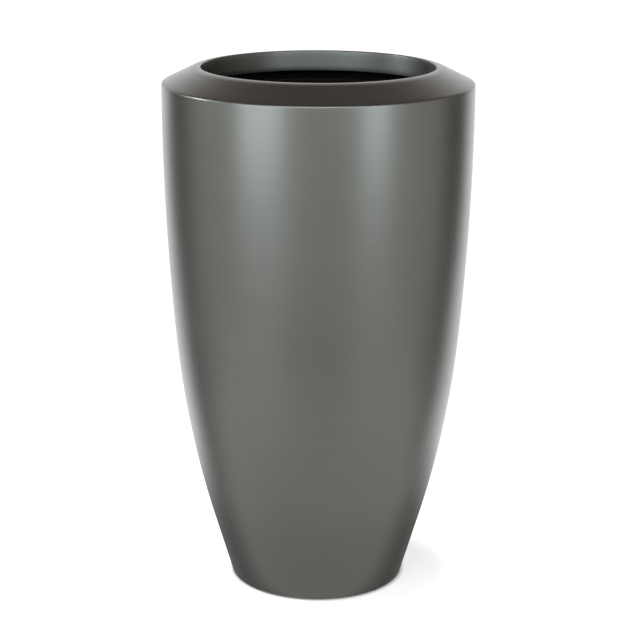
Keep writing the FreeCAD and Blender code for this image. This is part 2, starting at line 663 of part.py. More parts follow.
def foot_pad(number):
    """Rubber disc under the middle of the foot ring."""
    body = new_body(f"foot_pad_{number}")
    sketch = new_sketch(body, f"PadSection{number}", "XY_Plane")
    middle = BASE_RADIUS + " - Sizes.foot_ring_width / 2"
    centre = Vector(measure(middle), 0, 0)
    circle = sketch.addGeometry(Part.Circle(centre, Vector(0, 0, 1), guess.pad_dia / 2))
    hold(sketch, "Horizontal", *ORIGIN, circle, CENTRE)
    size(sketch, "middle", middle, "DistanceX", *ORIGIN, circle, CENTRE)
    size(sketch, "pad_dia", "Sizes.pad_dia", "Diameter", circle)
    pad(body, sketch, f"PadDisc{number}", "Sizes.pad_height")
    turn = FIRST_TURN + 360 / guess.pad_count * (number - 1)
    body.Placement.Rotation = Rotation(Vector(0, 0, 1), turn)
    doc.recompute()
    return body


def check_document():
    for item in doc.Objects:
        if "Invalid" in item.State or "Error" in item.State:
            raise RuntimeError(f"{item.Name} failed: {item.State}")


pieces = [planter_shell(), shoulder_collar(), collar_bond()]
pieces += [shelf_cleat(number) for number in range(1, guess.cleat_count + 1)]
pieces += [planting_shelf(), drain_plug()]
pieces += [foot_pad(number) for number in range(1, guess.pad_count + 1)]
doc.recompute()
check_document()

os.makedirs("parts", exist_ok=True)
for piece in pieces:
    shape = piece.Shape
    if shape.isNull() or not shape.isValid() or len(shape.Solids) != 1:
        raise RuntimeError(f"{piece.Label} isn't one valid solid")
    shape.exportStep(f"parts/{piece.Label}.step")
    box = shape.BoundBox
    print(f"{piece.Label}: volume {shape.Volume / 1000:.1f} cm3, "
          f"Z {box.ZMin:.2f} to {box.ZMax:.2f}, reach {box.XMax:.2f}")
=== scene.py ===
"""A tall round floor planter in lacquered glass laminate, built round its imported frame."""

import math

import bpy
from bpy.props import FloatProperty, FloatVectorProperty, IntProperty, PointerProperty
from bpy.types import Operator, Panel, PropertyGroup
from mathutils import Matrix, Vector


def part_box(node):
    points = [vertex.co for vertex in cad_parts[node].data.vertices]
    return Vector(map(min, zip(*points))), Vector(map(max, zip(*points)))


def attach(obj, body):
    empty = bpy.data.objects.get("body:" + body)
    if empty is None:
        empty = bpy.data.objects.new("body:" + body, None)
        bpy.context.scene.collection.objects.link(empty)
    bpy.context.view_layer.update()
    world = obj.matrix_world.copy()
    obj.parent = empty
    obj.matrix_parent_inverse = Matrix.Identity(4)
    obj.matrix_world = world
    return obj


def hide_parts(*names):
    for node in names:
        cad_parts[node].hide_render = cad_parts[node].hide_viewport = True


bl_info = {
    "name": "Tall Floor Planter",
    "version": (1, 0, 0),
    "blender": (4, 5, 0),
    "location": "3D View > Sidebar > Planter",
    "description": "Models and finishes a tall lacquered floor planter round its packed frame",
    "category": "Add Mesh",
}

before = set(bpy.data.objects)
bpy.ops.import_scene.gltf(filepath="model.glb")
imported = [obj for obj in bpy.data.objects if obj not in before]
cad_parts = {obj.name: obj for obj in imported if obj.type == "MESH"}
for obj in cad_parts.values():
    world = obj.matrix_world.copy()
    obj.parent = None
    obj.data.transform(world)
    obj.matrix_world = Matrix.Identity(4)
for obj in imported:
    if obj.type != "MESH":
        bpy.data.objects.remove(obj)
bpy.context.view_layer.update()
BODY = "planter"
MM = 0.001
FULL_TURN = 2 * math.pi
HALVINGS = 50
MOULDING_SMOOTH = math.radians(28)
NODE_SMOOTH = math.radians(30)
MERGE_DISTANCE = 0.01 * MM
SKIN = 0.2 * MM  # a face this near to a boundary counts as on it
BLACK = (0.0, 0.0, 0.0)
WHITE = (1.0, 1.0, 1.0)

BARREL_LOW, BARREL_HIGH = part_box("planter_shell")
COLLAR_LOW, COLLAR_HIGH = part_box("shoulder_collar")
FOOT_PADS = sorted(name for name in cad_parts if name.startswith("foot_pad"))
CLEATS = sorted(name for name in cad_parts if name.startswith("shelf_cleat"))


class PlanterSizes(PropertyGroup):
    """Sizes of the mouldings. Those that the frame fixes come from it."""

    seam_height: FloatProperty(
        name="Seam Height", description="Floor to the joint between barrel and collar",
        default=BARREL_HIGH.z, unit="LENGTH")
    shoulder_radius: FloatProperty(
        name="Shoulder Radius", description="Radius at the widest place",
        default=COLLAR_HIGH.x, unit="LENGTH")
    crest_height: FloatProperty(
        name="Crest Height", description="Floor to the top of the rim",
        default=COLLAR_HIGH.z, unit="LENGTH")
    foot_height: FloatProperty(
        name="Foot Height", description="Floor to the underside of the foot ring",
        default=BARREL_LOW.z, unit="LENGTH")
    spigot_end: FloatProperty(
        name="Spigot End", description="Floor to the lower end of the collar's spigot",
        default=COLLAR_LOW.z, unit="LENGTH")
    wall: FloatProperty(
        name="Wall", description="Thickness of the laminate", default=5 * MM, unit="LENGTH")
    base_radius: FloatProperty(
        name="Base Radius", description="Radius of the foot", default=152.5 * MM, unit="LENGTH")
    mouth_radius: FloatProperty(
        name="Mouth Radius", description="Inside radius of the lip", default=200 * MM, unit="LENGTH")
    foot_length: FloatProperty(
        name="Foot Length", description="Straight length of wall above the foot",
        default=112 * MM, unit="LENGTH")
    belly_radius: FloatProperty(
        name="Belly Radius", description="Radius of the lower curve of the wall",
        default=1716 * MM, unit="LENGTH")
    belly_height: FloatProperty(
        name="Belly Height", description="Floor to where the flatter upper curve takes over",
        default=442 * MM, unit="LENGTH")
    collar_rise: FloatProperty(
        name="Collar Rise", description="Corner of the shoulder to the top of the rim",
        default=27.3 * MM, unit="LENGTH")
    lip_depth: FloatProperty(
        name="Lip Depth", description="Top of the rim to the lower end of the lip",
        default=36 * MM, unit="LENGTH")
    sides: IntProperty(
        name="Sides", description="Faces round each moulding", default=256, min=32)


class PlanterFinishes(PropertyGroup):
    """Colours of the finishes."""

    lacquer: FloatVectorProperty(
        name="Lacquer", description="Gunmetal lacquer", subtype="COLOR", default=(0.097, 0.0955, 0.0885))
    laminate: FloatVectorProperty(
        name="Laminate", description="Raw laminate inside", subtype="COLOR", default=(0.012, 0.009, 0.007))
    paste: FloatVectorProperty(
        name="Paste", description="Bonding paste", subtype="COLOR", default=(0.035, 0.027, 0.020))
    plastic: FloatVectorProperty(
        name="Plastic", description="Moulded shelf", subtype="COLOR", default=(0.03, 0.03, 0.03))
    rubber: FloatVectorProperty(
        name="Rubber", description="Plug and feet", subtype="COLOR", default=(0.02, 0.02, 0.02))


# ---------------------------------------------------------------- shader graphs


class Signal:
    """A shader socket that takes part in sums as a number does."""

    def __init__(self, finish, socket):
        self.finish = finish
        self.socket = socket

    def _sum(self, operation, first, second, clamp=False):
        return self.finish.node(
            "ShaderNodeMath", {"operation": operation, "use_clamp": clamp},
            {"Value": first, "Value_001": second})

    def __add__(self, other):
        return self._sum("ADD", self, other)

    def __sub__(self, other):
        return self._sum("SUBTRACT", self, other)

    def __rsub__(self, other):
        return self._sum("SUBTRACT", other, self)

    def __mul__(self, other):
        return self._sum("MULTIPLY", self, other)

    def clamped(self):
        return self._sum("ADD", self, 0.0, clamp=True)

    __radd__ = __add__
    __rmul__ = __mul__


class Finish:
    """A node tree, of a material or of the world, with one way to add a node."""

    def __init__(self, owner):
        self.owner = owner
        owner.use_nodes = True
        self.tree = owner.node_tree
        self.tree.nodes.clear()

    def node(self, kind, settings=None, inputs=None, output=0):
        made = self.tree.nodes.new(kind)
        for name, value in (settings or {}).items():
            setattr(made, name, value)
        for key, value in (inputs or {}).items():
            socket = next(s for s in made.inputs if key in (s.identifier, s.name) and s.enabled)
            if isinstance(value, Signal):
                self.tree.links.new(value.socket, socket)
            else:
                socket.default_value = value
        return Signal(self, made.outputs[output]) if made.outputs else None

    def places(self):
        """Object coordinates, and their X, Y and Z."""
        point = self.node("ShaderNodeTexCoord", output="Object")
        return point, [self.node("ShaderNodeSeparateXYZ", inputs={"Vector": point}, output=axis)
                       for axis in "XYZ"]

    def noise(self, vector, scale, detail=2.0, roughness=0.5):
        return self.node(
            "ShaderNodeTexNoise", {"normalize": True},
            {"Vector": vector, "Scale": scale, "Detail": detail, "Roughness": roughness},
            output="Fac")

    def stretched(self, vector, scale):
        return self.node("ShaderNodeMapping", {"vector_type": "POINT"}, {"Vector": vector, "Scale": scale})

    def band(self, value, low, high):
        """0 below low and 1 above high, with a smooth rise between them."""
        return self.node(
            "ShaderNodeMapRange", {"interpolation_type": "SMOOTHSTEP", "clamp": True},
            {"Value": value, "From Min": low, "From Max": high, "To Min": 0.0, "To Max": 1.0})

    def between(self, value, rise, fall):
        """0, then 1 after the stretch in rise, then 0 again after the stretch in fall."""
        return self.band(value, *rise) * (1 - self.band(value, *fall))

    def distance(self, point, centre=(0.0, 0.0, 0.0)):
        return self.node("ShaderNodeVectorMath", {"operation": "DISTANCE"},
                         {"Vector": point, "Vector_001": centre}, output="Value")

    def mix(self, factor, first, second):
        return self.node(
            "ShaderNodeMix", {"data_type": "RGBA"},
            {"Factor_Float": factor, "A_Color": rgba(first), "B_Color": rgba(second)}, output=2)

    def mottled(self, tone, colour, darkest, lightest):
        """A colour that runs with tone from its darkest to its lightest shade."""
        return self.mix(tone, shade(colour, darkest), shade(colour, lightest))

    def bump(self, height, strength, distance, normal=None):
        inputs = {"Strength": strength, "Distance": distance, "Height": height}
        if normal:
            inputs["Normal"] = normal
        return self.node("ShaderNodeBump", inputs=inputs)

    def surface(self, inputs):
        shader = self.node("ShaderNodeBsdfPrincipled", inputs=inputs)
        self.node("ShaderNodeOutputMaterial", inputs={"Surface": shader})
        return self.owner


def rgba(colour):
    return colour if isinstance(colour, Signal) else (*colour[:3], 1.0)


def shade(colour, factor):
    return tuple(channel * factor for channel in colour[:3])


def new_finish(name):
    return Finish(bpy.data.materials.new(name))


def swing(pattern, amount):
    """How far a pattern goes from its middle, made larger or smaller by amount."""
    return (pattern - 0.5) * amount


LIP_FADE = (0.4 * MM, 1.5 * MM)  # from the lip's face outwards, where its own finish ends
LIP_DROP = (18 * MM, 13 * MM)  # below the lip's lower end, where its own finish starts
LIP_FLARE = 0.11  # slope by which the lip's upright face leans in its shading


def lacquer_finish():
    """Satin gunmetal lacquer, laid on in turns, so that its faint lines run round the planter.
    Inside the mouth it is a little more matt, and a bump leans the lip's face in its shading."""
    colours = bpy.context.scene.planter_finishes
    sizes = bpy.context.scene.planter_sizes
    finish = new_finish("gunmetal_lacquer")
    point, (across, along, height) = finish.places()
    turned = finish.noise(
        finish.stretched(point, (3.0, 3.0, 260.0)), scale=1.0, detail=3.0, roughness=0.6)
    fine = finish.noise(
        finish.stretched(point, (14.0, 14.0, 1500.0)), scale=1.0, detail=2.0, roughness=0.5)
    cloud = finish.noise(point, scale=5.5, detail=3.0, roughness=0.55)
    peel = finish.noise(point, scale=420.0, detail=1.0, roughness=0.5)
    tone = swing(turned, 0.6) + swing(fine, 0.16) + swing(cloud, 0.5) + 0.5
    beyond_lip = finish.band(
        across * across + along * along, *((sizes.mouth_radius + fade)**2 for fade in LIP_FADE))
    lip_end = sizes.crest_height - sizes.lip_depth
    lip = (1 - beyond_lip) * finish.band(height, *(lip_end - drop for drop in LIP_DROP))
    flare = finish.bump(lip * (sizes.crest_height - height), strength=1.0, distance=LIP_FLARE)
    relief = turned * 0.5 + fine * 0.25 + peel * 0.25
    return finish.surface({
        "Base Color": finish.mottled(tone.clamped(), colours.lacquer, darkest=0.86, lightest=1.14),
        "Metallic": 1.0,
        "Roughness": swing(turned, 0.12) + swing(cloud, 0.16) + lip * 0.02 + 0.40,
        "Normal": finish.bump(relief, strength=0.35, distance=0.06 * MM, normal=flare),
        "Coat Weight": 1.0,
        "Coat Roughness": 0.26,
    })


def laminate_finish():
    """Raw glass laminate under resin, rough with the strands that lie in it."""
    colours = bpy.context.scene.planter_finishes
    finish = new_finish("raw_laminate")
    point, _ = finish.places()
    strands = finish.node(
        "ShaderNodeTexVoronoi", {"feature": "DISTANCE_TO_EDGE"},
        {"Vector": finish.stretched(point, (1.0, 1.0, 0.45)), "Scale": 85.0}, output="Distance")
    ribbons = finish.band(strands, 0.0, 0.25)
    pools = finish.noise(point, scale=26.0, detail=3.0, roughness=0.6)
    grit = finish.noise(point, scale=340.0, detail=2.0, roughness=0.6)
    tone = (ribbons * 0.35 + pools * 0.5 + grit * 0.15).clamped()
    return finish.surface({
        "Base Color": finish.mottled(tone, colours.laminate, darkest=0.6, lightest=1.5),
        "Roughness": 0.9 - pools * 0.25,
        "Specular IOR Level": 0.06,
        "Normal": finish.bump(ribbons * 0.6 + grit * 0.4, strength=0.5, distance=0.5 * MM),
    })


def paste_finish():
    """Cured bonding paste, dabbed on and full of pits."""
    colours = bpy.context.scene.planter_finishes
    finish = new_finish("bonding_paste")
    point, _ = finish.places()
    dabs = finish.noise(finish.stretched(point, (1.0, 1.0, 2.5)), scale=60.0, detail=4.0, roughness=0.6)
    pits = finish.noise(point, scale=700.0, detail=1.0, roughness=0.5)
    return finish.surface({
        "Base Color": finish.mottled(dabs, colours.paste, darkest=0.7, lightest=1.25),
        "Roughness": 0.7 + pits * 0.2,
        "Normal": finish.bump(dabs * 0.8 + pits * 0.2, strength=0.6, distance=1.0 * MM),
    })


def plastic_finish():
    """Black moulded plastic with a fine spark-eroded texture."""
    colours = bpy.context.scene.planter_finishes
    finish = new_finish("moulded_plastic")
    point, _ = finish.places()
    grain = finish.noise(point, scale=900.0, detail=2.0, roughness=0.6)
    flow = finish.noise(point, scale=9.0, detail=2.0, roughness=0.5)
    return finish.surface({
        "Base Color": finish.mottled(flow, colours.plastic, darkest=0.8, lightest=1.3),
        "Roughness": 0.5 + grain * 0.18,
        "Normal": finish.bump(grain, strength=0.35, distance=0.15 * MM),
    })


def rubber_finish():
    """Black rubber with a dusty bloom."""
    colours = bpy.context.scene.planter_finishes
    finish = new_finish("black_rubber")
    point, _ = finish.places()
    bloom = finish.noise(point, scale=150.0, detail=3.0, roughness=0.6)
    return finish.surface({
        "Base Color": finish.mottled(bloom, colours.rubber, darkest=0.8, lightest=2.0),
        "Roughness": 0.75 + bloom * 0.15,
        "Normal": finish.bump(bloom, strength=0.3, distance=0.1 * MM),
    })


# ---------------------------------------------------------------- modelling


def only(piece):
    """Leave piece alone selected and active, in object mode."""
    bpy.ops.object.select_all(action="DESELECT")
    piece.select_set(True)
    bpy.context.view_layer.objects.active = piece


class Section:
    """Half a cross-section, drawn in edit mode from a radius and a height, then spun round."""

    def __init__(self, name, radius, height):
        bpy.ops.object.select_all(action="DESELECT")
        bpy.ops.mesh.primitive_plane_add(size=MM, location=(radius, 0, height))
        bpy.ops.object.transform_apply(location=True)
        self.piece = bpy.context.object
        self.piece.name = name
        self.piece.data.name = name
        self.radius, self.height = radius, height
        bpy.ops.object.mode_set(mode="EDIT")
        bpy.ops.mesh.merge(type="CENTER")

    def line(self, radius, height, steps=1):
        step = ((radius - self.radius) / steps, 0, (height - self.height) / steps)
        for _ in range(steps):
            bpy.ops.mesh.extrude_region_move(TRANSFORM_OT_translate={"value": step})
        self.radius, self.height = radius, height

    def upright(self, height, steps=1):
        self.line(self.radius, height, steps)

    def level(self, radius, steps=1):
        self.line(radius, self.height, steps)

    def arc(self, centre, angle, steps):
        """Turn about a centre, anticlockwise with the axis on the left, by an angle in radians."""
        bpy.ops.mesh.spin(
            steps=steps, angle=angle, center=(centre[0], 0, centre[1]), axis=(0, 1, 0))
        across, along = self.radius - centre[0], self.height - centre[1]
        cosine, sine = math.cos(angle), math.sin(angle)
        self.radius = centre[0] + across * cosine - along * sine
        self.height = centre[1] + across * sine + along * cosine

    def spin(self, sides):
        """Close the section and turn it into a solid moulding."""
        bpy.ops.mesh.select_all(action="SELECT")
        bpy.ops.mesh.spin(steps=sides, angle=FULL_TURN, center=(0, 0, 0), axis=(0, 0, 1))
        bpy.ops.mesh.select_all(action="SELECT")
        bpy.ops.mesh.remove_doubles(threshold=MERGE_DISTANCE)
        bpy.ops.mesh.normals_make_consistent(inside=False)
        bpy.ops.mesh.select_all(action="DESELECT")
        bpy.ops.object.mode_set(mode="OBJECT")
        only(self.piece)
        bpy.ops.object.shade_smooth_by_angle(angle=MOULDING_SMOOTH)
        return self.piece


def wear(piece, first, second, takes_second):
    """Give piece two finishes. takes_second says which faces get the second, from the radius and
    height of a face's middle and from how far the face points outwards and up."""
    piece.data.materials.append(first)
    piece.data.materials.append(second)
    only(piece)
    for face in piece.data.polygons:
        across = Vector((face.center.x, face.center.y, 0))
        outward = face.normal.dot(across.normalized())
        face.select = takes_second(across.length, face.center.z, outward, face.normal.z)
    piece.active_material_index = 1
    bpy.ops.object.mode_set(mode="EDIT")
    bpy.ops.object.material_slot_assign()
    bpy.ops.mesh.select_all(action="DESELECT")
    bpy.ops.object.mode_set(mode="OBJECT")
    piece.active_material_index = 0


def halved(low, high, too_low):
    """The value between low and high up to which too_low(value) holds."""
    for _ in range(HALVINGS):
        middle = (low + high) / 2
        if too_low(middle):
            low = middle
        else:
            high = middle
    return low


class WallLine:
    """The line of the wall's outside: a straight foot that leans out, then two curves, each smooth
    into the next. The foot's lean is the one that brings the base to its radius."""

    FOOT_LEANS = (math.radians(11), math.radians(25))

    def __init__(self, sizes):
        self.sizes = sizes
        self.foot_angle = halved(*self.FOOT_LEANS, lambda lean: self.base_radius(lean) > sizes.base_radius)
        self.upper_angle = self.meeting(self.foot_angle)
        upper_radius = (sizes.spigot_end - sizes.belly_height) / math.sin(self.upper_angle)
        self.upper_centre = (sizes.shoulder_radius - upper_radius, sizes.spigot_end)
        belly_top = self.upper_centre[0] + upper_radius * math.cos(self.upper_angle)
        self.belly_centre = (belly_top - sizes.belly_radius * math.cos(self.upper_angle),
                             sizes.belly_height + sizes.belly_radius * math.sin(self.upper_angle))

    def meeting(self, foot_angle):
        """Slope from the upright where the two curves meet."""
        sizes = self.sizes
        rise = sizes.belly_height - sizes.foot_height - sizes.foot_length * math.cos(foot_angle)
        return math.asin(math.sin(foot_angle) - rise / sizes.belly_radius)

    def base_radius(self, foot_angle):
        sizes = self.sizes
        upper = self.meeting(foot_angle)
        top = sizes.shoulder_radius - (sizes.spigot_end - sizes.belly_height) * math.tan(upper / 2)
        bulge = sizes.belly_radius * (math.cos(upper) - math.cos(foot_angle))
        return top - bulge - sizes.foot_length * math.sin(foot_angle)


class PLANTER_OT_barrel(Operator):
    """Model the barrel: a straight foot, two curves and a straight land under the collar"""

    bl_idname = "planter.barrel"
    bl_label = "Barrel"

    FLOOR_THICKNESS = 6 * MM
    FLOOR_CORNER = 12 * MM
    RING_WIDTH = 22 * MM
    RECESS = 8 * MM
    RECESS_CORNER = 4 * MM
    FOOT_EDGE = 1.5 * MM
    DRAIN_RADIUS = 12.5 * MM
    BELLY_STEPS = 20
    UPPER_STEPS = 18
    FACES_OUT = 0.05

    def execute(self, context):
        sizes = context.scene.planter_sizes
        line = WallLine(sizes)
        recess_roof = sizes.foot_height + self.RECESS
        floor_top = recess_roof + self.FLOOR_THICKNESS
        section = Section("barrel_moulding", self.DRAIN_RADIUS, floor_top)
        section.upright(recess_roof)
        self.draw_foot_ring(section, sizes, line)
        self.draw_outside(section, sizes, line)
        section.level(sizes.shoulder_radius - sizes.wall)
        self.draw_inside(section, sizes, line, floor_top)
        section.level(self.DRAIN_RADIUS, steps=4)
        piece = section.spin(sizes.sides)

        def lacquered(radius, height, outward, up):
            return outward > self.FACES_OUT or height < recess_roof + SKIN

        wear(piece, laminate_finish(), lacquer_finish(), lacquered)
        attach(piece, BODY)
        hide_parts("planter_shell")
        return {"FINISHED"}

    def draw_foot_ring(self, section, sizes, line):
        """From the recess under the floor down and round the ring that stands on the feet."""
        ring_inside = sizes.base_radius - self.RING_WIDTH
        ring_edge = sizes.foot_height + self.FOOT_EDGE
        section.level(ring_inside - self.RECESS_CORNER, steps=3)
        section.arc((section.radius, section.height - self.RECESS_CORNER), -math.pi / 2, steps=4)
        section.upright(ring_edge)
        section.arc((ring_inside + self.FOOT_EDGE, ring_edge), math.pi / 2, steps=3)
        edge_tangent = self.FOOT_EDGE * math.tan(math.pi / 4 - line.foot_angle / 2)
        section.level(sizes.base_radius - edge_tangent)
        section.arc((section.radius, section.height + self.FOOT_EDGE), math.pi / 2 - line.foot_angle, steps=3)

    def draw_outside(self, section, sizes, line):
        section.line(line.belly_centre[0] + sizes.belly_radius * math.cos(line.foot_angle),
                     line.belly_centre[1] - sizes.belly_radius * math.sin(line.foot_angle), steps=6)
        section.arc(line.belly_centre, line.foot_angle - line.upper_angle, self.BELLY_STEPS)
        section.arc(line.upper_centre, line.upper_angle, self.UPPER_STEPS)
        section.upright(sizes.seam_height, steps=2)

    def draw_inside(self, section, sizes, line, floor_top):
        """Down the inside to the fillet that is laid in where the wall meets the floor."""
        section.upright(sizes.spigot_end, steps=2)
        section.arc(line.upper_centre, -line.upper_angle, self.UPPER_STEPS)
        section.arc(line.belly_centre, line.upper_angle - line.foot_angle, self.BELLY_STEPS)
        lean = line.foot_angle
        fillet_start = floor_top + self.FLOOR_CORNER * math.cos(lean)
        section.line(section.radius - (section.height - fillet_start) * math.tan(lean), fillet_start, steps=4)
        radius = (section.height - floor_top) / (1 - math.sin(lean))
        centre = (section.radius - radius * math.cos(lean), section.height + radius * math.sin(lean))
        section.arc(centre, lean - math.pi / 2, steps=5)


class PLANTER_OT_collar(Operator):
    """Model the collar: shoulder edge, sloped face, rolled rim, turned-down lip and spigot"""

    bl_idname = "planter.collar"
    bl_label = "Collar"

    SHOULDER_EDGE = 5 * MM
    ROLL_WIDTH = 16 * MM
    RIM_EDGE = 2 * MM
    LIP_ROOT = 4 * MM
    LIP_END = 1 * MM
    SPIGOT_ROOT = 6 * MM
    BOND_GAP = 1.2 * MM
    SLOPES = (math.radians(10), math.radians(45))
    FACES_UP = 0.3

    def slope(self, sizes, crest):
        """Angle from the level at which the face meets both the shoulder corner and the roll."""
        run = sizes.shoulder_radius - crest - self.ROLL_WIDTH

        def rise(angle):
            return run * math.tan(angle) + self.ROLL_WIDTH * math.tan(angle / 2)

        return halved(*self.SLOPES, lambda angle: rise(angle) < sizes.collar_rise)

    def execute(self, context):
        sizes = context.scene.planter_sizes
        crest = sizes.mouth_radius + self.RIM_EDGE
        slope = self.slope(sizes, crest)
        roll_radius = self.ROLL_WIDTH / math.sin(slope)
        roll_centre = (crest, sizes.crest_height - roll_radius)
        spigot_outside = sizes.shoulder_radius - sizes.wall - self.BOND_GAP

        section = Section("collar_moulding", sizes.shoulder_radius, sizes.seam_height)
        self.draw_face(section, sizes, slope, roll_centre, roll_radius)
        self.draw_lip(section, sizes)
        self.draw_underside(section, sizes, slope, roll_centre, roll_radius - sizes.wall, spigot_outside)
        section.level(sizes.shoulder_radius)
        piece = section.spin(sizes.sides)

        def lacquered(radius, height, outward, up):
            outside = radius > spigot_outside + SKIN and height > sizes.seam_height + SKIN
            return up > self.FACES_UP or outside or radius < sizes.mouth_radius + self.LIP_END

        wear(piece, laminate_finish(), lacquer_finish(), lacquered)
        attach(piece, BODY)
        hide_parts("shoulder_collar")
        return {"FINISHED"}

    def draw_face(self, section, sizes, slope, roll_centre, roll_radius):
        """Up from the seam, round the shoulder edge and over the sloped face to the crest of the rim."""
        corner_height = sizes.crest_height - sizes.collar_rise
        edge_tangent = self.SHOULDER_EDGE * math.tan(math.pi / 4 - slope / 2)
        section.upright(corner_height - edge_tangent)
        section.arc((section.radius - self.SHOULDER_EDGE, section.height), math.pi / 2 - slope, steps=8)
        section.line(roll_centre[0] + self.ROLL_WIDTH,
                     roll_centre[1] + roll_radius * math.cos(slope), steps=6)
        section.arc(roll_centre, slope, steps=10)

    def draw_lip(self, section, sizes):
        """Round the rim's inner edge, down the lip, round its end and up its back."""
        lip_end = sizes.crest_height - sizes.lip_depth
        section.arc((section.radius, sizes.crest_height - self.RIM_EDGE), math.pi / 2, steps=8)
        section.upright(lip_end + self.LIP_END, steps=4)
        section.arc((section.radius + self.LIP_END, section.height), math.pi / 2, steps=3)
        section.level(sizes.mouth_radius + sizes.wall - self.LIP_END)
        section.arc((section.radius, section.height + self.LIP_END), math.pi / 2, steps=3)

    def draw_underside(self, section, sizes, slope, roll_centre, under_roll, spigot_outside):
        """From the lip's root along the underside of the face and down round the spigot."""
        root_radius = section.radius + self.LIP_ROOT
        root_height = roll_centre[1] + math.sqrt(under_roll**2 - (root_radius - roll_centre[0])**2)
        section.upright(root_height - self.LIP_ROOT, steps=2)
        section.arc((root_radius, section.height), -math.pi / 2, steps=4)
        under_start = (roll_centre[0] + under_roll * math.sin(slope),
                       roll_centre[1] + under_roll * math.cos(slope))
        section.line(*under_start, steps=2)
        spigot_inside = spigot_outside - sizes.wall
        root_reach = self.SPIGOT_ROOT * math.tan(math.pi / 4 - slope / 2)
        root = under_start[1] - (spigot_inside - under_start[0]) * math.tan(slope)
        section.line(spigot_inside - root_reach * math.cos(slope),
                     root + root_reach * math.sin(slope), steps=3)
        section.arc((section.radius - self.SPIGOT_ROOT * math.sin(slope),
                     section.height - self.SPIGOT_ROOT * math.cos(slope)), slope - math.pi / 2, steps=5)
        section.upright(sizes.spigot_end, steps=2)
        section.level(spigot_outside)
        section.upright(sizes.seam_height, steps=2)


def coat(node, material):
    """Finish a piece whose shape the frame already holds."""
    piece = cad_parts[node]
    piece.data.materials.clear()
    piece.data.materials.append(material)
    only(piece)
    bpy.ops.object.shade_smooth_by_angle(angle=NODE_SMOOTH)


class PLANTER_OT_inside(Operator):
    """Finish the bonding paste, the cleats, the shelf and the drain plug"""

    bl_idname = "planter.inside"
    bl_label = "Inside"

    def execute(self, context):
        coat("collar_bond", paste_finish())
        laminate = laminate_finish()
        for cleat in CLEATS:
            coat(cleat, laminate)
        coat("planting_shelf", plastic_finish())
        coat("drain_plug", rubber_finish())
        return {"FINISHED"}


class PLANTER_OT_feet(Operator):
    """Finish the rubber feet"""

    bl_idname = "planter.feet"
    bl_label = "Feet"

    def execute(self, context):
        rubber = rubber_finish()
        for pad in FOOT_PADS:
            coat(pad, rubber)
        return {"FINISHED"}


